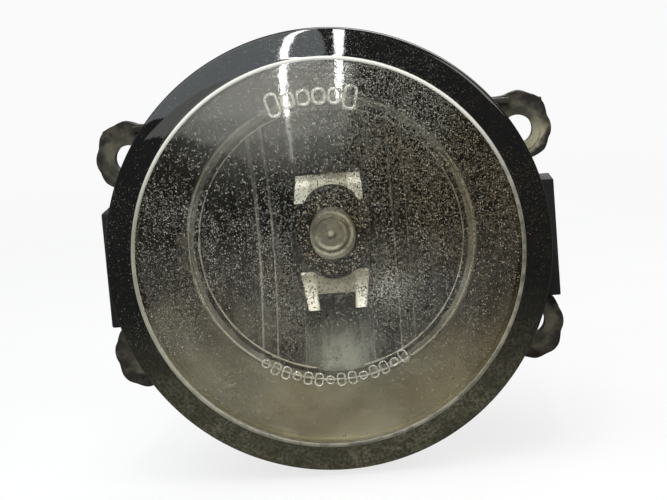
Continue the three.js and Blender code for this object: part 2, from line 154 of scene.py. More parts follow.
def smooth_line(points, steps):
    """A curve through 2D points (Catmull-Rom), both ends kept."""
    out = []
    for i in range(len(points) - 1):
        p0 = points[max(i - 1, 0)]
        p1, p2 = points[i], points[i + 1]
        p3 = points[min(i + 2, len(points) - 1)]
        for s in range(steps):
            t = s / steps
            out.append(tuple(
                0.5 * (2 * b + (c - a) * t + (2 * a - 5 * b + 4 * c - d) * t * t
                       + (3 * b - a - 3 * c + d) * t ** 3)
                for a, b, c, d in zip(p0, p1, p2, p3)))
    out.append(points[-1])
    return out


def arc(cx, cy, r, start, end, steps):
    """Points round (cx, cy) from start to end degrees, both kept."""
    angles = [math.radians(start + (end - start) * i / steps) for i in range(steps + 1)]
    return [(cx + r * math.cos(a), cy + r * math.sin(a)) for a in angles]


def prism(name, outline, y0, y1):
    """A front view outline in (x, z), made y0 to y1 deep."""
    n = len(outline)
    verts = [(x, y0, z) for x, z in outline] + [(x, y1, z) for x, z in outline]
    faces = [list(range(n)), list(range(2 * n - 1, n - 1, -1))]
    faces += [[i, i + n, (i + 1) % n + n, (i + 1) % n] for i in range(n)]
    return finish_mesh(object_from(name, verts, faces))


def box(name, xs, ys, zs):
    (x0, x1), (y0, y1), (z0, z1) = sorted(xs), sorted(ys), sorted(zs)
    return prism(name, [(x0, z0), (x1, z0), (x1, z1), (x0, z1)], y0, y1)


def rod(name, r, y0, y1, x=0.0, z=0.0, sides=40):
    return prism(name, [(x + u, z + v) for u, v in arc(0, 0, r, 0, 360 - 360 / sides, sides - 1)], y0, y1)


def cross_rod(name, r, x0, x1, y, sides=40):
    """A rod along X, centred on (y, 0)."""
    obj = rod(name, r, x0, x1, sides=sides)
    obj.data.transform(Matrix(((0, 1, 0, 0), (1, 0, 0, y * MM), (0, 0, 1, 0), (0, 0, 0, 1))))
    return finish_mesh(obj)


def turned_about_y(obj, degrees):
    """The object itself, its mesh turned about the optical axis."""
    obj.data.transform(Matrix.Rotation(math.radians(degrees), 4, "Y"))
    return obj


def combined(name, base, adds=(), cuts=()):
    """base with the others joined to it or cut out of it, as one clean mesh. The others are used up."""
    for operation, others in (("UNION", adds), ("DIFFERENCE", cuts)):
        for other in others:
            m = base.modifiers.new(operation, "BOOLEAN")
            m.operation, m.object, m.solver = operation, other, "EXACT"
    mesh = bpy.data.meshes.new_from_object(base.evaluated_get(bpy.context.evaluated_depsgraph_get()))
    for obj in [base, *adds, *cuts]:
        bpy.data.objects.remove(obj)
    made = bpy.data.objects.new(name, mesh)
    scene.collection.objects.link(made)
    mesh.materials.clear()
    return finish_mesh(made)


def soften(obj, width, angle=32.0):
    """Rounds by width millimetres the edges that are sharper than angle degrees."""
    m = obj.modifiers.new("edges", "BEVEL")
    m.width, m.segments, m.limit_method = width * MM, 2, "ANGLE"
    m.angle_limit = math.radians(angle)
    n = obj.modifiers.new("normals", "WEIGHTED_NORMAL")
    n.keep_sharp = True


# ---------------------------------------------------------------- materials
class Nodes:
    """A short way to write one material's nodes."""

    def __init__(self, name):
        self.material = bpy.data.materials.new(name)
        self.material.use_nodes = True
        self.tree = self.material.node_tree
        self.shader = self.tree.nodes["Principled BSDF"]
        self.where = self.tree.nodes.new("ShaderNodeTexCoord").outputs["Object"]

    def put(self, kind, inputs=None, **settings):
        node = self.tree.nodes.new("ShaderNode" + kind)
        for key, value in settings.items():
            setattr(node, key, value)
        for key, value in (inputs or {}).items():
            self.give(node.inputs[key], value)
        return node

    def give(self, socket, value):
        if isinstance(value, bpy.types.NodeSocket):
            self.tree.links.new(value, socket)
        else:
            socket.default_value = value

    def noise(self, scale, detail=3.0, rough=0.55, stretch=(1, 1, 1), offset=(0, 0, 0)):
        mapped = self.put("Mapping", {"Vector": self.where, "Scale": stretch, "Location": offset})
        return self.put("TexNoise", {"Vector": mapped.outputs[0], "Scale": scale, "Detail": detail,
                                     "Roughness": rough}).outputs["Fac"]

    def ramp(self, value, low, high, a=0.0, b=1.0):
        """Goes smoothly from a at low to b at high."""
        inputs = {"Value": value, "From Min": low, "From Max": high, "To Min": a, "To Max": b}
        return self.put("MapRange", inputs, interpolation_type="SMOOTHSTEP").outputs[0]

    def math(self, operation, a, b=0.0):
        return self.put("Math", {0: a, 1: b}, operation=operation).outputs[0]

    def plus(self, a, b):
        return self.math("ADD", a, b)

    def minus(self, a, b):
        return self.math("SUBTRACT", a, b)

    def times(self, a, b):
        return self.math("MULTIPLY", a, b)

    def most(self, a, b, *others):
        """The largest of the values."""
        largest = self.math("MAXIMUM", a, b)
        for other in others:
            largest = self.math("MAXIMUM", largest, other)
        return largest

    def mix(self, factor, a, b):
        """Between two colours."""
        node = self.tree.nodes.new("ShaderNodeMix")
        node.data_type = "RGBA"
        for socket, value in ((node.inputs[0], factor), (node.inputs[6], a), (node.inputs[7], b)):
            self.give(socket, value if isinstance(value, (bpy.types.NodeSocket, float)) else (*value, 1.0))
        return node.outputs[2]

    def part(self, axis):
        """One coordinate of the place, in metres: 0 is X and 2 is Z."""
        return self.put("SeparateXYZ", {0: self.where}).outputs[axis]

    def flat(self):
        """The place seen from in front, with its Y at 0."""
        return self.put("VectorMath", {0: self.where, 1: (1, 0, 1)}, operation="MULTIPLY").outputs[0]

    def radius(self):
        """The distance from the optical axis, in metres."""
        return self.put("VectorMath", {0: self.flat()}, operation="LENGTH").outputs["Value"]

    def near(self, x, z, inner, outer):
        """1 within inner millimetres of the line along Y through (x, z), falling to 0 at outer."""
        line = (x * MM, 0, z * MM)
        away = self.put("VectorMath", {0: self.flat(), 1: line}, operation="DISTANCE").outputs["Value"]
        return self.ramp(away, inner * MM, outer * MM, 1.0, 0.0)

    def ridge(self, radius, centre, half):
        """1 at centre millimetres from the axis, falling to 0 at half millimetres either side of it."""
        away = self.math("ABSOLUTE", self.minus(radius, centre * MM))
        return self.ramp(away, half * MM * 0.6, half * MM, 1.0, 0.0)

    def dots(self, per_metre, share, size, offset=(0, 0, 0)):
        """Separate round flecks of uneven brightness, in a share of the cells of an uneven lattice."""
        mapped = self.put("Mapping", {"Vector": self.where, "Location": offset})
        cell = self.put("TexVoronoi", {"Vector": mapped.outputs[0], "Scale": per_metre})
        chance = self.put("SeparateColor", {0: cell.outputs["Color"]})
        chosen = self.math("LESS_THAN", chance.outputs[0], share)
        shade = self.plus(self.math("POWER", chance.outputs[1], 2.0), 0.15)
        disc = self.ramp(cell.outputs["Distance"], size * 0.6, size * 1.3, 1.0, 0.0)
        return self.times(self.times(disc, chosen), shade)

    def specks(self, per_metre, low, high):
        """Small scattered flecks, 0 to 1."""
        return self.ramp(self.noise(per_metre, 2.0, 0.6), low, high)

    def bump(self, height, strength, distance=0.0002):
        node = self.put("Bump", {"Height": height, "Strength": strength, "Distance": distance})
        self.tree.links.new(node.outputs[0], self.shader.inputs["Normal"])

    def set(self, **values):
        for key, value in values.items():
            socket = self.shader.inputs[key.replace("_", " ")]
            if isinstance(value, tuple) and len(value) == 3:
                value = (*value, 1.0)
            self.give(socket, value)
        return self.material


def plastic(name, dark, light, dust, dust_amount, rough, grain=900.0, gloss=0.5):
    """Moulded plastic with blotches, a fine grain and settled dust."""
    n = Nodes(name)
    blotch = n.ramp(n.noise(70, 5.0), 0.35, 0.68)
    base = n.mix(blotch, dark, light)
    film = n.times(n.ramp(n.noise(38, 6.0, 0.65, offset=(3, 1, 7)), 0.42, 0.66), dust_amount)
    fleck = n.times(n.specks(1700, 0.60, 0.70), min(1.0, dust_amount * 1.6))
    cover = n.most(film, fleck)
    n.bump(n.plus(n.noise(grain, 3.0), n.times(n.noise(160, 4.0), 0.6)), 0.35)
    roughness = n.plus(n.times(cover, 0.35), n.ramp(n.noise(220), 0.3, 0.7, rough - 0.08, rough + 0.08))
    return n.set(Base_Color=n.mix(cover, base, dust), Roughness=roughness, Specular_IOR_Level=gloss)


def metal(name, colour, dull, rough, dust_amount=0.25, grain=(1, 1, 1)):
    """Worn metal with fine brushed or blotchy variation and dust."""
    n = Nodes(name)
    wear = n.ramp(n.noise(420, 4.0, stretch=grain), 0.35, 0.7)
    cover = n.times(n.specks(1900, 0.57, 0.66), dust_amount)
    n.bump(n.noise(1500, 2.0, stretch=grain), 0.12, 0.0001)
    worn = n.mix(wear, colour, dull)
    return n.set(Base_Color=n.mix(cover, worn, (0.4, 0.38, 0.32)), Metallic=n.minus(1.0, cover),
                 Roughness=n.ramp(n.noise(300, 3.0, stretch=grain), 0.3, 0.7, rough - 0.06, rough + 0.12))


def clouded_metal(name, dark, light, metallic, rough, shade_tint=None):
    """Dull metallising: soft clouds, fine scratches, sparse dust, and perhaps painted shade over its upper
    part.
    """
    n = Nodes(name)
    cloud = n.ramp(n.noise(55, 5.0, 0.6), 0.34, 0.66)
    scratch = n.times(n.ramp(n.noise(900, 3.0, stretch=(0.2, 0.2, 1.0)), 0.60, 0.70), 0.35)
    base = n.mix(scratch, n.mix(cloud, dark, light), tuple(1.35 * c for c in light))
    if shade_tint:
        # Painted shade: above a ragged line low on the part, the colour turns to the given dark tint, where
        # the cone faces away from the light overhead.
        settled = n.plus(n.part(2), n.ramp(n.noise(45, 4.0, offset=(3, 3, 0)), 0.3, 0.7, -0.006, 0.006))
        in_shade = n.ramp(settled, -0.024, -0.006)
        base = n.mix(in_shade, base, n.mix(cloud, shade_tint, tuple(2.2 * c for c in shade_tint)))
    dust = n.times(n.dots(2200, 0.45, 0.32, (2, 4, 8)), 0.15)
    n.bump(n.noise(700, 4.0), 0.06)
    return n.set(Base_Color=n.mix(dust, base, (0.22, 0.21, 0.17)), Metallic=metallic, Specular_IOR_Level=0.08,
                 Roughness=n.ramp(cloud, 0, 1, rough - 0.05, rough + 0.08))


def weathered_glass():
    """Clear glass, pitted and dusty above, dark where the sealant backs it, with a dull cream bead. Painted
    reflections lie over the dome's upper left and the band's foot, and painted highlights lie on the bead.
    """
    n = Nodes("weathered_glass")
    radius = n.radius()
    band = n.ramp(radius, 0.03935, 0.03965)
    bead = n.times(n.ramp(radius, 0.03878, 0.03890), n.ramp(radius, 0.03944, 0.03962, 1.0, 0.0))
    side, height = n.part(0), n.part(2)
    # Where flecks lie: in patches, thick above, thin to the left and over the shield, and one cluster.
    patches = n.ramp(n.noise(40, 4.0, 0.6, offset=(0.4, 0, 0.2)), 0.38, 0.62, 0.18, 0.9)
    density = n.times(patches, n.ramp(height, -0.031, -0.012, 0.12, 0.72))
    thin = n.most(n.near(-30, 30, 6, 24), n.times(n.near(-36, 0, 5, 17), 0.8))
    density = n.times(density, n.ramp(thin, 0, 1, 1.0, 0.35))
    cluster = n.near(11.2, -7, 0.5, 7)
    density = n.plus(density, n.times(cluster, 0.5))
    clean = n.most(n.near(0.3, 0.5, 6, 10), n.near(0.8, -13, 4.5, 8.5))
    density = n.times(density, n.ramp(clean, 0, 1, 1.0, 0.22))
    # Three sizes of pale fleck, and dark soot.
    small = n.times(n.dots(4000, n.times(density, 0.56), 0.42), n.ramp(patches, 0.2, 0.9, 0.55, 1.0))
    medium = n.times(n.dots(2300, n.times(density, 0.32), 0.38, (7, 7, 7)), 0.85)
    large = n.dots(1300, n.times(density, 0.05), 0.24, (3, 5, 1))
    light = n.math("MINIMUM", n.most(small, medium, large), 1.0)
    flecked = n.times(n.ramp(light, 0.02, 0.16), n.ramp(band, 0, 1, 1.0, 0.45))
    soot = n.times(n.dots(2300, n.times(density, 0.7), 0.34, (1, 9, 4)), 0.75)
    soot = n.times(soot, n.minus(1.0, band))
    haze_and_reflection = n.ramp(n.noise(60, 5.0, offset=(1, 2, 3)), 0.4, 0.75, 0.0, 0.003)
    # Painted reflection of the ceiling: over the upper left of the dome the glass turns a little pale and
    # opaque.
    haze_and_reflection = n.plus(haze_and_reflection, n.times(n.near(-12, 34, 4, 24), 0.03))
    # Colours: browner to the right; the band olive at its foot, a painted reflection of the pale floor, and
    # black above; and a cream bead, painted paler at its top and left as a highlight.
    brown = n.ramp(n.plus(side, n.ramp(n.noise(50, 3.0), 0.3, 0.7, -0.02, 0.02)), 0.005, 0.035)
    pale = n.mix(brown, (0.160, 0.157, 0.126), (0.110, 0.084, 0.050))
    pale = n.mix(cluster, pale, (0.62, 0.62, 0.55))
    fleck = n.mix(light, n.mix(brown, (0.024, 0.0235, 0.018), (0.020, 0.015, 0.009)), pale)
    grime = n.ramp(n.noise(24, 5.0, 0.6, offset=(2.2, 0, 1.4)), 0.45, 0.68)
    tint = n.mix(n.most(grime, brown), (0.87, 0.86, 0.79), (0.72, 0.66, 0.53))
    mottle = n.times(n.ramp(n.noise(1500, 6.0, 0.8, offset=(6, 2, 0)), 0.40, 0.64),
                    n.ramp(height, -0.040, 0.0, 1.0, 0.35))
    mottle = n.times(mottle, n.ramp(n.noise(170, 4.0, 0.6, offset=(1, 6, 4)), 0.34, 0.62, 0.3, 1.0))
    # Painted reflection of the pale floor: the band turns lighter olive towards its foot, where its mottle is
    # also stronger.
    olive = n.mix(mottle, (0.026, 0.025, 0.016), (0.105, 0.099, 0.068))
    black = n.mix(mottle, (0.004, 0.0042, 0.0045), (0.013, 0.0125, 0.011))
    glass = n.mix(band, tint, n.mix(n.ramp(height, -0.036, -0.006), olive, black))
    shade = n.mix(soot, n.mix(flecked, glass, fleck), (0.012, 0.010, 0.007))
    cover = n.most(n.times(flecked, 0.85), haze_and_reflection, soot)
    cream = n.mix(n.ramp(n.noise(500, 3.0), 0.35, 0.65), (0.065, 0.060, 0.042), (0.175, 0.165, 0.122))
    # Painted highlight: the bead is paler towards the left.
    cream = n.mix(n.ramp(side, -0.038, 0.0, 0.55, 0.0), cream, (0.30, 0.29, 0.22))
    # Painted highlight: the bead is palest over its top.
    cream = n.mix(n.ramp(height, 0.005, 0.034), cream, (0.62, 0.61, 0.56))
    solid_part = n.most(cover, band, bead)
    n.bump(n.noise(900, 3.0), 0.03, 0.0001)
    return n.set(Base_Color=n.mix(bead, shade, cream), Transmission_Weight=n.minus(1.0, solid_part),
                 Roughness=n.plus(n.most(n.times(cover, 0.09), n.times(bead, 0.7)), 0.03), IOR=1.5)


def dusty_glass():
    """Raised glass that has kept a little of the dust."""
    n = Nodes("dusty_glass")
    kept = n.ramp(n.noise(700, 4.0), 0.35, 0.65, 0.08, 0.45)
    return n.set(Base_Color=n.mix(kept, (0.85, 0.84, 0.76), (0.26, 0.25, 0.20)),
                 Roughness=n.ramp(kept, 0, 1, 0.05, 0.4), Transmission_Weight=n.minus(1.0, kept), IOR=1.5)


def clear_glass(name, tint):
    """Clean glass with faint smears."""
    n = Nodes(name)
    smear = n.ramp(n.noise(300, 3.0), 0.4, 0.7, 0.02, 0.10)
    return n.set(Base_Color=n.mix(n.noise(200), tint, tuple(c * 0.94 for c in tint)), Transmission_Weight=1.0,
                 Roughness=smear, IOR=1.46)


def reflector_mirror():
    """Clouded metallising: upright streaks, bloom and dust, with painted reflections: a paler strip up the
    middle and pale, less metallic patches.
    """
    n = Nodes("reflector_metallising")
    across = n.math("ABSOLUTE", n.part(0))
    streak = n.ramp(n.noise(380, 4.0, stretch=(1.0, 0.2, 0.06)), 0.38, 0.66)
    bloom = n.ramp(n.noise(70, 4.0, offset=(5, 2, 1)), 0.40, 0.66)
    base = n.mix(streak, (0.009, 0.009, 0.008), (0.055, 0.055, 0.050))
    base = n.mix(n.times(bloom, 0.7), base, (0.028, 0.021, 0.012))
    # Painted reflection: the column of flutes up the middle is paler.
    middle = n.times(n.ramp(across, 0.0070, 0.0078, 1.0, 0.0), n.ramp(streak, 0, 1, 0.35, 0.9))
    base = n.mix(middle, base, (0.085, 0.090, 0.087))
    # Painted reflections of the ceiling: pale patches low in the middle, to the lower left and to the upper
    # right.
    patch = n.most(n.near(0.5, -26, 1, 11), n.times(n.near(-17, -17, 1, 9), 0.45),
                   n.times(n.near(9.5, 20, 1, 4.5), 0.4))
    patch = n.times(patch, n.ramp(n.noise(260, 4.0), 0.3, 0.6, 0.6, 1.0))
    base = n.mix(patch, base, (0.20, 0.21, 0.185))
    dust = n.times(n.dots(2200, 0.4, 0.34, (9, 1, 4)), 0.5)
    n.bump(n.noise(500, 3.0, stretch=(1.0, 0.3, 0.1)), 0.10)
    return n.set(Base_Color=n.mix(dust, base, (0.20, 0.19, 0.15)),
                 Metallic=n.times(n.minus(1.0, n.most(dust, patch)), 0.6),
                 Roughness=n.ramp(streak, 0, 1, 0.24, 0.36), Specular_IOR_Level=0.08)


def rim_metallising():
    """The flat rim of the reflector: satin, with its two raised lips paler."""
    n = Nodes("reflector_rim_metal")
    radius = n.radius()
    lips = n.most(n.ridge(radius, 27.8, 0.3), n.ridge(radius, 30.05, 0.35))
    worn = n.ramp(n.noise(90, 4.0), 0.35, 0.6, 0.55, 1.0)
    cloud = n.ramp(n.noise(120, 4.0), 0.34, 0.66)
    base = n.mix(cloud, (0.085, 0.085, 0.073), (0.150, 0.149, 0.130))
    base = n.mix(n.times(lips, worn), base, (0.46, 0.44, 0.38))
    n.bump(n.noise(700, 4.0), 0.06)
    return n.set(Base_Color=base, Metallic=0.3, Roughness=n.ramp(cloud, 0, 1, 0.28, 0.42))


def speckled_paint():
    """Near-black heat-proof paint, pitted all over with small pale and rusty specks."""
    n = Nodes("shield_cup_paint")
    fine = n.dots(2900, 0.45, 0.42, (5, 5, 2))
    coarse = n.dots(1750, 0.34, 0.38, (2, 7, 7))
    spots = n.math("MINIMUM", n.most(fine, coarse), 1.0)
    rust = n.ramp(n.noise(900, 2.0, offset=(8, 0, 3)), 0.45, 0.6)
    base = n.mix(n.ramp(n.noise(400, 3.0), 0.35, 0.65), (0.002, 0.0018, 0.0015), (0.006, 0.005, 0.0035))
    n.bump(n.noise(1200, 3.0), 0.3, 0.0001)
    return n.set(Base_Color=n.mix(spots, base, n.mix(rust, (0.34, 0.33, 0.26), (0.24, 0.18, 0.11))),
                 Roughness=n.ramp(n.noise(300), 0.3, 0.7, 0.6, 0.8), Specular_IOR_Level=0.05)


def disc_with_highlights():
    """The raised middle of the shield: grey-brown, with painted highlights on its steps and its point."""
    n = Nodes("shield_disc")
    x, z = DISC_CENTRE

    def step(r):
        return n.minus(n.near(x, z, r, r + 0.25), n.near(x, z, r - 0.5, r - 0.25))

    # Painted highlights: pale rings on the two steps and a pale spot on the point, broken up by noise.
    worn = n.most(step(3.2), step(4.6), n.near(x, z, 0.35, 0.9))
    worn = n.times(worn, n.ramp(n.noise(230, 3.0, offset=(0, 4, 1)), 0.42, 0.6, 0.1, 0.8))
    cloud = n.ramp(n.noise(170, 5.0), 0.35, 0.65)
    base = n.mix(cloud, (0.105, 0.101, 0.081), (0.175, 0.170, 0.140))
    n.bump(n.noise(900, 3.0), 0.2, 0.0001)
    return n.set(Base_Color=n.mix(worn, base, (0.40, 0.39, 0.33)), Roughness=n.ramp(cloud, 0, 1, 0.22, 0.38))


def satin_bracket():
    """Bright satin steel, darker in the middle of each panel, with painted highlights towards its sides and
    painted light on its lower part.
    """
    n = Nodes("shield_bracket_metal")
    # Painted highlight: each panel is brighter towards its sides than in its middle.
    edge = n.ramp(n.math("ABSOLUTE", n.part(0)), 0.0038, 0.0046)
    cloud = n.ramp(n.noise(260, 4.0), 0.35, 0.65)
    dull = n.mix(cloud, (0.42, 0.415, 0.35), (0.60, 0.59, 0.51))
    # Painted light: the lower part, which faces down away from the light, is made brighter still.
    low = n.ramp(n.part(2), -0.012, -0.010, 1.0, 0.0)
    bright = n.mix(low, n.mix(cloud, (0.84, 0.83, 0.76), (0.97, 0.96, 0.90)), (1.0, 0.99, 0.94))
    dust = n.times(n.dots(2000, 0.5, 0.3), 0.4)
    n.bump(n.noise(1400, 2.0, stretch=(1, 1, 0.15)), 0.15, 0.0001)
    return n.set(Base_Color=n.mix(dust, n.mix(edge, dull, bright), (0.35, 0.33, 0.27)), Metallic=0.15,
                 Roughness=n.ramp(cloud, 0, 1, 0.32, 0.45))


def ear_plastic():
    """Dusty moulded plastic, darker and dirtier away from each screw hole."""
    n = Nodes("frame_plastic")
    x, z = n.math("ABSOLUTE", n.part(0)), n.math("ABSOLUTE", n.part(2))
    side = n.math("POWER", n.minus(x, EAR_X * MM), 2.0)
    up = n.math("POWER", n.minus(z, EAR_Z * MM), 2.0)
    away = n.math("SQRT", n.plus(side, up))
    ragged = n.plus(away, n.ramp(n.noise(260, 4.0), 0.3, 0.7, -0.0009, 0.0009))
    rim = n.ramp(ragged, 0.0049, 0.0064)
    blotch = n.ramp(n.noise(300, 5.0, 0.6), 0.35, 0.68)
    face = n.mix(blotch, (0.030, 0.028, 0.019), (0.095, 0.088, 0.060))
    # A paler patch low on the upper right ear.
    pale_patch = n.near(46, 16, 2, 8)
    face = n.mix(pale_patch, face, (0.30, 0.28, 0.19))
    crust = n.ramp(n.noise(400, 4.0, offset=(4, 4, 4)), 0.42, 0.66)
    dirt = n.mix(crust, (0.010, 0.008, 0.006), (0.045, 0.039, 0.026))
    n.bump(n.plus(n.noise(900, 3.0), n.noise(200, 4.0)), 0.4)
    return n.set(Base_Color=n.mix(rim, face, dirt), Roughness=n.ramp(blotch, 0, 1, 0.5, 0.75),
                 Specular_IOR_Level=0.3)


frame_plastic = ear_plastic()
# Painted shade: the cheeks belong to the frame's moulding but are made near black, as they face sideways away
# from the light.
shaded_cheek_plastic = plastic("shaded_cheek_plastic", (0.004, 0.004, 0.0045), (0.010, 0.010, 0.011),
                        (0.06, 0.06, 0.055), 0.08, 0.6, gloss=0.2)
housing_plastic = plastic("housing_plastic", (0.010, 0.010, 0.010), (0.024, 0.023, 0.021),
                          (0.16, 0.15, 0.12), 0.22, 0.42)
base_plastic = plastic("base_plastic", (0.014, 0.014, 0.015), (0.030, 0.029, 0.028),
                       (0.16, 0.15, 0.13), 0.10, 0.48)
nylon = plastic("natural_nylon", (0.52, 0.49, 0.40), (0.66, 0.63, 0.54), (0.30, 0.27, 0.20), 0.35, 0.45)
rubber = plastic("vent_rubber", (0.012, 0.012, 0.012), (0.022, 0.022, 0.021), (0.13, 0.12, 0.10), 0.2, 0.8)
o_ring_rubber = plastic("silicone_rubber", (0.16, 0.035, 0.015), (0.24, 0.06, 0.03),
                        (0.25, 0.2, 0.15), 0.1, 0.5)
sealant = plastic("butyl_sealant", (0.006, 0.006, 0.006), (0.014, 0.014, 0.013),
                  (0.06, 0.06, 0.05), 0.1, 0.35, 300.0)
membrane = plastic("membrane_sheet", (0.62, 0.62, 0.58), (0.75, 0.75, 0.72), (0.4, 0.38, 0.33), 0.2, 0.8)
zinc_steel = metal("zinc_steel", (0.55, 0.55, 0.52), (0.36, 0.35, 0.32), 0.3)
bright_steel = metal("bright_steel", (0.68, 0.68, 0.66), (0.5, 0.5, 0.49), 0.2, 0.1, (0.15, 1, 1))
brass = metal("tinned_brass", (0.72, 0.60, 0.34), (0.52, 0.44, 0.28), 0.26, 0.08)
tungsten = metal("tungsten", (0.24, 0.24, 0.25), (0.15, 0.15, 0.16), 0.4, 0.02)
# The bezel's dark tint is painted shade over all but the bottom of its cone.
bezel_metal = clouded_metal("bezel_metallising", (0.095, 0.085, 0.055), (0.160, 0.150, 0.108), 0.3, 0.42,
                            (0.005, 0.004, 0.0022))
bracket_metal = satin_bracket()
cup_paint = speckled_paint()
disc_plastic = disc_with_highlights()
rim_metal = rim_metallising()
# Painted highlight: the ribs are paler than the bowl's metallising so that they show as bright lines between
# the flutes.
highlit_rib_metal = clouded_metal("reflector_rib_metal", (0.15, 0.15, 0.14), (0.24, 0.24, 0.225), 0.35, 0.34)
lens_glass = weathered_glass()
mark_glass = dusty_glass()
quartz = clear_glass("quartz_glass", (0.98, 0.985, 0.99))
mirror = reflector_mirror()


def dress(obj, material, body, slot, *nodes):
    """Gives a new piece its material, the CAD body it rides on, and the CAD nodes it stands for."""
    obj.data.materials.clear()
    obj.data.materials.append(material)
    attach(obj, body)
    if nodes:
        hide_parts(*nodes)


# ---------------------------------------------------------------- camera, floor and light
def place_camera():
    """Looks at the middle of the lens from a little above and to the right, a few degrees out of level."""
    azimuth, elevation, roll = map(math.radians, (2.3, 8.4, 4.7))
    distance = 0.392
    target = Vector((0, -0.0145, 0))
    back = Vector((math.sin(azimuth) * math.cos(elevation), -math.cos(azimuth) * math.cos(elevation),
                   math.sin(elevation)))
    data = bpy.data.cameras.new("camera")
    sensor, focal_length = 36.0, 104.6
    data.sensor_width, data.lens = sensor, focal_length
    data.shift_x, data.shift_y = 0.0072, 0.0015
    camera = bpy.data.objects.new("camera", data)
    camera.rotation_mode = "QUATERNION"
    turn = (-back).to_track_quat("-Z", "Y") @ Matrix.Rotation(-roll, 3, "Z").to_quaternion()
    camera.location, camera.rotation_quaternion = target + back * distance, turn
    scene.collection.objects.link(camera)
    scene.camera = camera


def area_light(name, place, look_at, size, power, colour=(1, 1, 1)):
    """A flat light of size (width, height) metres and power watts, facing look_at."""
    data = bpy.data.lights.new(name, "AREA")
    data.shape, data.size, data.size_y = "RECTANGLE", size[0], size[1]
    data.energy, data.color = power, colour
    light = bpy.data.objects.new(name, data)
    light.rotation_mode = "QUATERNION"
    light.location = place
    light.rotation_quaternion = (Vector(look_at) - Vector(place)).to_track_quat("-Z", "Y")
    scene.collection.objects.link(light)
    return light


def ceiling_light(name, start, end, width, height, radiance, colour=(1, 1, 1)):
    """A flat light facing down, width wide, from start to end in plan, as bright as radiance says."""
    run = Vector(end) - Vector(start)
    middle = (Vector(start) + Vector(end)) / 2
    light = area_light(name, (*middle, height), (*middle, 0), (width, run.length),
                       radiance * math.pi * width * run.length, colour)
    turn = math.atan2(run.y, run.x) + math.pi / 2
    light.rotation_quaternion = Matrix.Rotation(turn, 4, "Z").to_quaternion()
    light.visible_camera = False


def place_lights():
    """Two tubes over and in front of the lamp, a ceiling to their left that dims forwards, and panels."""
    tube_width, tube_height = 0.028, 0.5
    ceiling_light("tube_left", (-0.03, 0.0), (-0.274, -2.35), tube_width, tube_height, 30.0)
    ceiling_light("tube_left_far", (-0.274, -2.35), (-0.59, -5.4), tube_width, tube_height, 3.0)
    ceiling_light("tube_right", (0.054, -0.05), (0.037, -2.0), tube_width, tube_height, 30.0)
    ceiling_light("ceiling_near", (-0.80, 0.4), (-0.80, -2.5), 1.6, 1.0, 2.3, (0.90, 0.97, 1.0))
    for name, start, end, radiance in (
            ("ceiling_far", -2.5, -4.6, 1.6), ("ceiling_farther", -4.6, -6.4, 1.0),
            ("ceiling_farthest", -6.4, -9.5, 0.5), ("ceiling_end", -9.5, -15.0, 0.22)):
        ceiling_light(name, (-1.0, start), (-1.0, end), 2.4, 1.0, radiance, (1.0, 1.0, 0.95))
    middle = (0, 0, 0)
    area_light("right", (0.9, -0.5, 0.8), middle, (0.5, 0.5), 3.0, (1.0, 0.96, 0.9))
    area_light("back", (0.3, 0.95, 0.7), middle, (0.8, 0.8), 6.0)
    place_surround()


def place_surround():
    """Pale where the camera sees it, and a weak warm light everywhere else."""
    world = bpy.data.worlds.new("studio")
    scene.world = world
    world.use_nodes = True
    tree = world.node_tree
    shown = tree.nodes["Background"]
    shown.inputs[0].default_value = (0.955, 0.955, 0.96, 1)
    lit = tree.nodes.new("ShaderNodeBackground")
    lit.inputs[0].default_value = (1.0, 0.96, 0.84, 1)
    lit.inputs[1].default_value = 0.10
    rays = tree.nodes.new("ShaderNodeLightPath")
    mix = tree.nodes.new("ShaderNodeMixShader")
    tree.links.new(rays.outputs["Is Camera Ray"], mix.inputs[0])
    tree.links.new(lit.outputs[0], mix.inputs[1])
    tree.links.new(shown.outputs[0], mix.inputs[2])
    tree.links.new(mix.outputs[0], tree.nodes["World Output"].inputs[0])


def place_floor():
    """A pale disc just under the object that fades out to the pale surround."""
    reach, rings, sides, gap = 1.4, 24, 96, 0.0005
    verts = [(0, 0, 0)]
    for k in range(1, rings + 1):
        r = reach * k / rings
        verts += [(r * math.cos(TAU * i / sides), r * math.sin(TAU * i / sides), 0) for i in range(sides)]
    faces = [[0, 1 + i, 1 + (i + 1) % sides] for i in range(sides)]
    for k in range(rings - 1):
        a, b = 1 + k * sides, 1 + (k + 1) * sides
        faces += [[a + i, b + i, b + (i + 1) % sides, a + (i + 1) % sides] for i in range(sides)]
    floor = object_from("floor", verts, faces, 1.0)
    floor.location.z = cad_box[0].z - gap
    n = Nodes("floor_pale")
    distance = n.put("VectorMath", {0: n.where}, operation="LENGTH").outputs["Value"]
    tone = n.ramp(n.noise(14, 3.0), 0.3, 0.7)
    fade = n.ramp(distance, 0.14, 0.7, 1.0, 0.0)
    n.set(Base_Color=n.mix(tone, (0.115, 0.115, 0.115), (0.125, 0.125, 0.125)), Roughness=0.9, Alpha=fade,
          Emission_Color=(1.0, 1.0, 1.0), Emission_Strength=0.75)
    floor.data.materials.append(n.material)
    floor.visible_glossy = False


# ---------------------------------------------------------------- lens
def dome_y(r):
    """The front of the dome at radius r."""
    return CREASE_Y - DOME_RISE * (1 - (r / CREASE_R) ** 2)


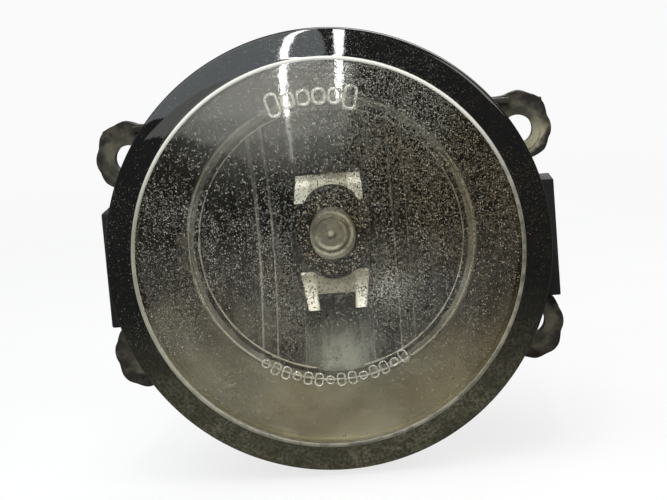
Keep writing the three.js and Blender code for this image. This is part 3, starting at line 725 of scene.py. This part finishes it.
def lens_marks():
    """Plain moulded outlines in two arcs: middle (x, z), half width, half height and turn of each."""
    marks = []
    for k in range(6):
        a = math.radians(105.5 - 5.6 * k)
        x, z = UPPER_MARKS_R * math.cos(a), UPPER_MARKS_R * math.sin(a)
        marks.append((x, z, 1.15, 1.4 if k % 5 else 2.2, a - math.pi / 2))
    for k in range(14):
        a = math.radians(-124 + 5.1 * k)
        x, z = LOWER_MARKS_R * math.cos(a), LOWER_MARKS_R * math.sin(a)
        marks.append((x, z, 0.75, 1.25 if k % 3 else 0.75, a + math.pi / 2))
    return marks


def build_marks():
    """Low rounded ridges on the front of the glass, each following a rounded bar. The lower ones are worn."""
    verts, faces = [], []
    section = ((-0.30, 0.12), (-0.17, -0.14), (0, -0.24), (0.17, -0.14), (0.30, 0.12))
    across = len(section)
    for x, z, half_w, half_h, turn in lens_marks():
        c, s = math.cos(turn), math.sin(turn)
        corner = half_w * 0.8
        worn = 1.0 if z > 0 else 0.5
        path = []
        for cx, cz, start in ((1, 1, 0), (-1, 1, 90), (-1, -1, 180), (1, -1, 270)):
            path += [(u, v, math.radians(start + 90 * k / 5)) for k, (u, v) in enumerate(
                arc(cx * (half_w - corner), cz * (half_h - corner), corner, start, start + 90, 5))]
        first, count = len(verts), len(path)
        for u, v, facing in path:
            for out, lift in section:
                a, b = u + worn * out * math.cos(facing), v + worn * out * math.sin(facing)
                px, pz = x + a * c - b * s, z + a * s + b * c
                verts.append((px, dome_y(math.hypot(px, pz)) + worn * lift, pz))
        for i in range(count):
            here, there = first + across * i, first + across * ((i + 1) % count)
            for k in range(across):
                j = (k + 1) % across
                faces.append([here + k, here + j, there + j, there + k])
    marks = finish_mesh(object_from("lens_marks", verts, faces), 80.0)
    marks.visible_shadow = False
    dress(marks, mark_glass, "lamp", "lens_glass")


def build_lens():
    """The glass: a dome with a raised bead, a flatter band outside it, and the skirt in the sealant."""
    rings = 40
    front = [(CREASE_R * k / rings, dome_y(CREASE_R * k / rings)) for k in range(rings)]
    bead = beyond(CREASE_Y, [(38.85, -0.04), (38.98, -0.17), (39.2, -0.24), (39.45, -0.13), (39.65, 0.02)])
    band_r, y = bead[-1]
    band, steps, width = [], 15, 4.5
    step = width / steps
    for k in range(steps):
        slope = 13.1 + 0.53 * (step * (k + 0.5)) ** 2
        y += step * math.tan(math.radians(slope))
        band.append((band_r + step * (k + 1), y))
    band += beyond(y, [(44.42, 0.14), (44.64, 0.29), (44.82, 0.48), (44.94, 0.72), (LENS_R, 1.0)])
    edge = [(LENS_R, SHOULDER_Y + 0.8), (LENS_R, LENS_BACK_Y - 0.35), (LENS_R - 0.12, LENS_BACK_Y - 0.1),
            (LENS_R - 0.4, LENS_BACK_Y)]
    skirt = [(42.4, -12.5), (42.4, -9.6), (42.2, -9.4), (41.4, -9.4), (41.2, -9.6), (41.2, -12.5),
             (40.2, -14.3)]
    inside = [(r, dome_y(r) + GLASS_T) for r in (39.4, 36, 32, 28, 24, 20, 16, 12, 8, 4, 0)]
    lens = lathe("lens_glass", front + bead + band + edge + skirt + inside, 240, 50.0)
    lens.visible_shadow = False
    dress(lens, lens_glass, "lamp", "lens_glass", "lens")
    build_marks()


# ---------------------------------------------------------------- inside of the lamp
def build_bezel():
    """The metallised cone between the reflector's rim and the lens."""
    foot, mouth = APERTURE_Y - 0.3, -13.2
    lip = foot - 0.5
    profile = [(30.5, foot)]
    profile += [(30.55 + 8.0 * k / 10, lip + (mouth - lip) * k / 10) for k in range(11)]
    profile += [(38.8, -13.4), (39.6, -13.5), (39.8, -13.3), (39.8, -12.6), (39.2, -12.4), (31.9, foot)]
    ring = lathe("bezel_cone", profile, 192)
    dress(ring, bezel_metal, "lamp", "bezel_metallising", "bezel_ring")


def bowl_y(x, z):
    """The front of the bowl, whose flutes bulge forwards by depth of their half width."""
    depth = 0.11
    base = APEX_Y - (x * x + z * z) / (4 * FOCAL)
    for low, high in zip(FLUTES, FLUTES[1:]):
        if low <= x <= high:
            half = (high - low) / 2
            t = (x - low - half) / half
            return base - depth * half * (1 - t * t)
    return base


def build_ribs():
    """Low upright ridges between the flutes, a little wider towards the top."""
    verts, faces = [], []
    section = ((-1, -0.3), (-0.6, 0.16), (0, 0.24), (0.6, 0.16), (1, -0.3))
    across = len(section)
    for x, width in RIBS:
        for side in (1, -1):
            top = math.sqrt((APERTURE_R - 0.3) ** 2 - x * x)
            low = math.sqrt(max((BULB_HOLE_R + 0.3) ** 2 - x * x, 0))
            first, steps = len(verts), 30
            for k in range(steps + 1):
                z = side * (low + (top - low) * k / steps)
                half = 0.5 * width * (1 + 0.5 * z / APERTURE_R)
                for u, rise in section:
                    verts.append((x + half * u, bowl_y(x, z) - rise, z))
            for k in range(steps):
                for c in range(across):
                    a, b = first + across * k + c, first + across * k + (c + 1) % across
                    faces.append([a, b, b + across, a + across])
            faces += [[end + c for c in range(across)] for end in (first, first + across * steps)]
    ribs = finish_mesh(object_from("reflector_ribs", verts, faces), 50.0)
    dress(ribs, highlit_rib_metal, "lamp", "reflector_metallising")


def build_reflector():
    """A bowl of upright flutes, as columns of quads above and below the bulb hole, with a rim."""
    columns = []
    for low, high in zip(FLUTES, FLUTES[1:]):
        columns += [low + (high - low) * k / 8 for k in range(8)]
    columns.append(FLUTES[-1])
    steps = 44
    verts, faces = [], []
    for side in (1, -1):
        first = len(verts)
        for x in columns:
            top = math.sqrt(max(APERTURE_R ** 2 - x * x, 0.04))
            low = math.sqrt(max(BULB_HOLE_R ** 2 - x * x, 0))
            for k in range(steps + 1):
                z = side * (low + (top - low) * k / steps)
                verts.append((x, bowl_y(x, z), z))
        for c in range(len(columns) - 1):
            for k in range(steps):
                a = first + c * (steps + 1) + k
                quad = [a, a + 1, a + steps + 2, a + steps + 1]
                faces.append(quad if side == 1 else quad[::-1])
    bowl = finish_mesh(object_from("reflector_bowl", verts, faces), 9.0)
    for poly in bowl.data.polygons:
        if poly.normal.y > 0:
            poly.flip()
    thick = bowl.modifiers.new("skin", "SOLIDIFY")
    thick.thickness, thick.offset = 1.0 * MM, -1.0
    dress(bowl, mirror, "lamp", "reflector_metallising", "reflector")
    build_ribs()
    rim = lathe("reflector_rim", beyond(APERTURE_Y, [
        (27.55, 0.9), (27.6, 0.1), (27.75, -0.05), (27.95, 0.1), (28.0, 0.5), (29.6, 0.3), (29.8, -0.1),
        (30.0, -0.25), (30.2, -0.1), (30.4, 0.1), (33.4, 0.4), (33.6, 0.6), (33.6, 1.8), (33.4, 2.0),
        (29.2, 3.2), (28.0, 2.4)]), 192, 40.0)
    dress(rim, rim_metal, "lamp", "reflector_metallising")


def build_shield():
    """The cup in front of the bulb, its raised middle, and the bright bracket that carries it."""
    cup = lathe("bulb_shield_cup", beyond(SHIELD_Y, [
        (5.2, 0.9), (5.25, 0.2), (5.45, 0), (7.6, 0), (8.2, 0.2), (8.5, 0.6), (8.6, 1.2), (8.6, 7.9),
        (8.5, 8.1), (7.9, 8.1), (7.8, 7.9), (7.8, 1.6), (7.2, 0.9)]), 96, 40.0)
    x, z = CUP_CENTRE
    oval = Matrix.Diagonal((0.92, 1.0, 1.12, 1.0))
    cup.data.transform(Matrix.Translation((x * MM, 0, z * MM)) @ oval)
    dress(cup, cup_paint, "lamp", "shield_steel", "bulb_shield")
    disc = lathe("bulb_shield_disc", beyond(SHIELD_Y, [
        (0, 0.05), (0.45, 0.1), (0.8, 0.35), (1.1, 0.85), (1.6, 1.0), (2.9, 0.9), (3.2, 0.5), (3.5, 0.3),
        (3.8, 0.5), (4.0, 0.8), (4.8, 0.7), (5.6, 0.9), (5.6, 1.8), (0, 1.8)]), 64, 40.0)
    x, z = DISC_CENTRE
    disc.data.transform(Matrix.Translation((x * MM, 0, z * MM)))
    dress(disc, disc_plastic, "lamp", "shield_steel")
    upper = [(7.9, 6.0), (8.3, 8.4), (9.3, 10.6), (10.4, 11.6), (11.6, STRAP_Y)]
    lower = [(7.9, 9.2), (8.6, 10.6), (9.6, 11.3), (11.0, 11.7), (13.0, STRAP_Y)]
    build_bracket("upper", 1, upper, 0.9, 0.25)
    build_bracket("lower", -1, lower, 3.4, -0.2)


def build_bracket(name, side, shape, tab, bend):
    """A strap bent along the (height, y) points of shape, then tab millimetres flat, and its two legs."""
    half = 7.25
    columns = [-half, -half + 1.0, -half + 2.9, -half + 3.1, half - 3.1, half - 2.9, half - 1.0, half]
    line, reach = smooth_line(shape, 5), shape[-1][0]
    steps = len(line)
    line += [(reach + tab * k / 4, STRAP_Y + bend * k) for k in range(1, 5)]
    taper = [1 - 0.13 * max(z - 9, 0) / 7 for z, y in line]
    verts = [(x * t, y, side * z) for (z, y), t in zip(line, taper) for x in columns]
    faces, w = [], len(columns)
    for k in range(len(line) - 1):
        for c in range(w - 1):
            between_tabs = side == -1 and k >= steps - 1 and c in (2, 3, 4)
            if between_tabs:
                continue
            a = k * w + c
            quad = [a, a + 1, a + w + 1, a + w]
            faces.append(quad if side == -1 else quad[::-1])
    strap = finish_mesh(object_from(f"shield_bracket_{name}", verts, faces), 40.0)
    sheet = strap.modifiers.new("sheet", "SOLIDIFY")
    sheet.thickness, sheet.offset = 0.7 * MM, 0.0
    soften(strap, 0.15)
    dress(strap, bracket_metal, "lamp", "shield_steel")
    legs = []
    for x in (-5.6, 5.6):
        foot = APEX_Y - ((reach + 1.0) ** 2 + x * x) / (4 * FOCAL) - 0.5
        heights = (side * (reach - 0.5), side * (reach + 0.1))
        legs.append(box(f"shield_leg_{name}", (x - 1.2, x + 1.2), (STRAP_Y - 0.3, foot), heights))
    pair = combined(f"shield_legs_{name}", legs[0], legs[1:])
    soften(pair, 0.12)
    dress(pair, bracket_metal, "lamp", "shield_steel")


# ---------------------------------------------------------------- housing
def build_housing():
    """The body behind the lens: ribs, screw bosses, vent spigot, trunnions, ball lug and bulb keyways."""
    outer = [(44.3, -12.2), (44.5, -12.0), (44.5, -5.9), (44.2, -5.6), (41.2, -5.6)]
    outer += smooth_line([(40.8, -5.6), (38.9, -3.2), (37.2, -0.5), (36.7, 5), (34.9, 13), (30.4, 20.5),
                          (24.6, 26), (20, 29), (17.2, 30.6), (16.5, 32.4)], 5)
    outer += [(16.5, 42.8), (17.2, 43.0), (18.1, 43.0), (18.1, 45.8), (17.9, 46.0), (12.8, 46.0)]
    inner = [(12.8, 42), (10.3, 42), (10.3, 39.5), (12.8, 39.5), (12.8, 31), (13.4, 30.5)]
    inner += smooth_line([(19.6, 26.8), (28.6, 19.2), (32.8, 12.2), (34.5, 4.8), (34.8, -0.8),
                          (38.8, -6.6)], 4)
    inner += [(38.8, -12.2), (40.0, -12.2), (40.0, -8.0), (43.7, -8.0), (43.7, -12.2)]
    shell = lathe("shell", outer + inner)
    adds, cuts = [], []
    rib = [(15.5, 29), (22, 25.5), (30.5, 17), (34.2, 14.6), (33.4, 18), (30, 22.6), (24.4, 28.6),
           (19.4, 33.5), (17.6, 37.2), (15.5, 37.2)]
    for k in range(6):
        blade = prism("rib", rib, -0.9, 0.9)
        blade.data.transform(Matrix(((1, 0, 0, 0), (0, 0, 1, 0), (0, 1, 0, 0), (0, 0, 0, 1))))
        adds.append(turned_about_y(finish_mesh(blade), 60 * k))
    for degrees in (30, 150, 270):
        a = math.radians(degrees)
        x, z = SCREW_RING_R * math.cos(a), SCREW_RING_R * math.sin(a)
        adds.append(rod("boss", 3.6, 9.5, 24.0, x, z))
        cuts.append(rod("hole", 1.75, 5, 25, x, z, 24))
    adds.append(rod("spigot", 3.0, 25.2, 35.5, 0, VENT_Z))
    cuts.append(rod("vent_hole", 1.6, 20, 36.5, 0, VENT_Z, 24))
    for side in (1, -1):
        adds.append(cross_rod("trunnion", 2.6, *sorted((35.6 * side, 46 * side)), PIVOT_Y))
        adds.append(box("web", (35.9 * side, 40.4 * side), (-3.6, 6), (-1.3, 1.3)))
    adds.append(box("lug", (-4.5, 4.5), (-5.8, BALL_Y + 3.5), (-46.4, -37.8)))
    cuts.append(rod("mouth", 2.9, BALL_Y, BALL_Y + 5, 0, ADJUSTER_Z))
    cuts.append(rod("run", 3.0, -5.3, BALL_Y, 0, ADJUSTER_Z))
    for degrees in (90, 210, 330):
        cuts.append(turned_about_y(box("key", (8.4, 12.4), (38.7, 42.7), (-3.1, 3.1)), degrees))
    housing = combined("housing_shell", shell, adds, cuts)
    soften(housing, 0.3)
    dress(housing, housing_plastic, "lamp", "housing_plastic", "housing")


# ---------------------------------------------------------------- mounting frame
def ear_outline(sx, sz):
    """A scalloped lobe round the screw hole, relative to the frame's middle."""
    lobe = [(-9.5, 6.7), (-5.5, 6.9), (-2.6, 7.1), (-1.2, 7.6), (0.4, 8.0), (1.6, 7.8), (3.0, 7.2),
            (4.6, 6.5), (5.7, 5.2), (6.1, 3.8), (6.3, 2.6), (6.8, 1.4), (7.0, 0.1), (6.8, -1.2),
            (6.3, -2.2), (6.0, -3.2), (5.3, -4.5), (4.0, -5.4), (2.4, -6.1), (0.2, -7.1), (-2.6, -7.9),
            (-9.5, -9.0)]
    return [(sx * (EAR_X + u), sz * (EAR_Z + v)) for u, v in smooth_line(lobe, 4)]


def build_frame():
    """The ring with four ears and the screw's bracket, and the two upright cheeks that hold the trunnions."""
    ring = lathe("ring", [(39.2, 0.2), (39.4, 0), (42.8, 0), (43, 0.2), (43, 6.3), (42.8, 6.5), (41.6, 6.5),
                          (41.4, 6.3), (41.4, 3), (39.4, 3), (39.2, 2.8)])
    adds, cuts = [], []
    core = rod("core", 39.2, -9, 20, sides=144)
    for sx in (1, -1):
        for sz in (1, -1):
            lip_z = (sz * (EAR_Z + 5.9), sz * (EAR_Z + 6.9))
            rib_z = (sz * (EAR_Z + 4.8), sz * (EAR_Z + 6.0))
            adds += [prism("ear", ear_outline(sx, sz), 0, 3),
                     rod("boss", 4.6, -0.35, 3.3, sx * EAR_X, sz * EAR_Z),
                     box("lip", (sx * 32, sx * (EAR_X - 1.4)), (-2.4, 0.1), lip_z),
                     box("rib", (sx * 38, sx * (EAR_X + 5.6)), (2.9, 6.5), rib_z)]
            cuts.append(rod("hole", EAR_HOLE_R, -3, 8, sx * EAR_X, sz * EAR_Z))
    for s in (1, -1):
        adds.append(box("plate", (s * 36, s * 46.8), (0, 3), (-14.2, 9.9)))
    body = combined("frame_body", ring, adds, [core])
    bracket = box("bracket", (-7.3, 7.3), (0, 12.5), (-46.5, -38.2))
    cuts += [box("lug_space", (-4.9, 4.9), (-1, 9.5), (-47.5, -37)),
             rod("screw_hole", 3.7, 8, 14, 0, ADJUSTER_Z)]
    cuts += [box("slot", (s * 30, s * CHEEK_X), (-1, 7.5), (-4.2, 4.2)) for s in (1, -1)]
    cuts += [box("notch", (s * CHEEK_X, s * 48), (-5, 7), (-14.5, 10.2)) for s in (1, -1)]
    frame_body = combined("mounting_frame_body", body, [bracket], cuts)
    soften(frame_body, 0.35)
    dress(frame_body, frame_plastic, "carrier", "frame_plastic", "mounting_frame")
    for name, s in (("right", 1), ("left", -1)):
        block = box("cheek", (s * CHEEK_X, s * 46.9), (-4.6, 6.5), (-14.3, 10))
        cheek = combined(f"frame_cheek_{name}", block, cuts=[cross_rod("bore", 2.9, -50, 50, PIVOT_Y)])
        soften(cheek, 0.4)
        dress(cheek, shaded_cheek_plastic, "carrier", "frame_plastic", "mounting_frame")


# ---------------------------------------------------------------- CAD nodes that stay
KEPT = (
    (nylon, 0.1, ("adjuster_ball_nut",)),
    (nylon, 0.15, ("adjuster_bush",)),
    (nylon, 0.2, ("adjuster_screw",)),
    (zinc_steel, 0.1, ("adjuster_retainer", "shield_rivet_lower", "shield_rivet_upper")),
    (zinc_steel, 0.12, ("reflector_screw_1", "reflector_screw_2", "reflector_screw_3")),
    (sealant, 0.1, ("lens_seal",)),
    (rubber, 0.25, ("vent_cap",)),
    (membrane, 0.1, ("vent_membrane",)),
    (base_plastic, 0.3, ("bulb_base",)),
    (o_ring_rubber, 0, ("bulb_o_ring",)),
    (bright_steel, 0.15, ("bulb_metal_collar",)),
    (quartz, 0, ("bulb_glass",)),
    (tungsten, 0, ("filament", "filament_lead_long", "filament_lead_short")),
    (brass, 0.1, ("terminal_left", "terminal_right")),
)


def dress_cad_nodes():
    """Gives each kept node its material, and rounds its sharp edges by the stated millimetres."""
    kept = [(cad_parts[name], material, width) for material, width, names in KEPT for name in names]
    for node, material, width in kept:
        node.data.materials.clear()
        node.data.materials.append(material)
        weld = node.modifiers.new("weld", "WELD")
        weld.merge_threshold = 1e-6
        flat = node.modifiers.new("flat", "DECIMATE")
        flat.decimate_type, flat.angle_limit = "DISSOLVE", math.radians(1.0)
        if width:
            soften(node, width, 30.0)
        for poly in node.data.polygons:
            poly.use_smooth = True
        split = node.modifiers.new("shade", "EDGE_SPLIT")
        split.split_angle = math.radians(32)


place_camera()
place_lights()
place_floor()
build_lens()
build_bezel()
build_reflector()
build_shield()
build_housing()
build_frame()
dress_cad_nodes()

scene.view_settings.view_transform = "Standard"
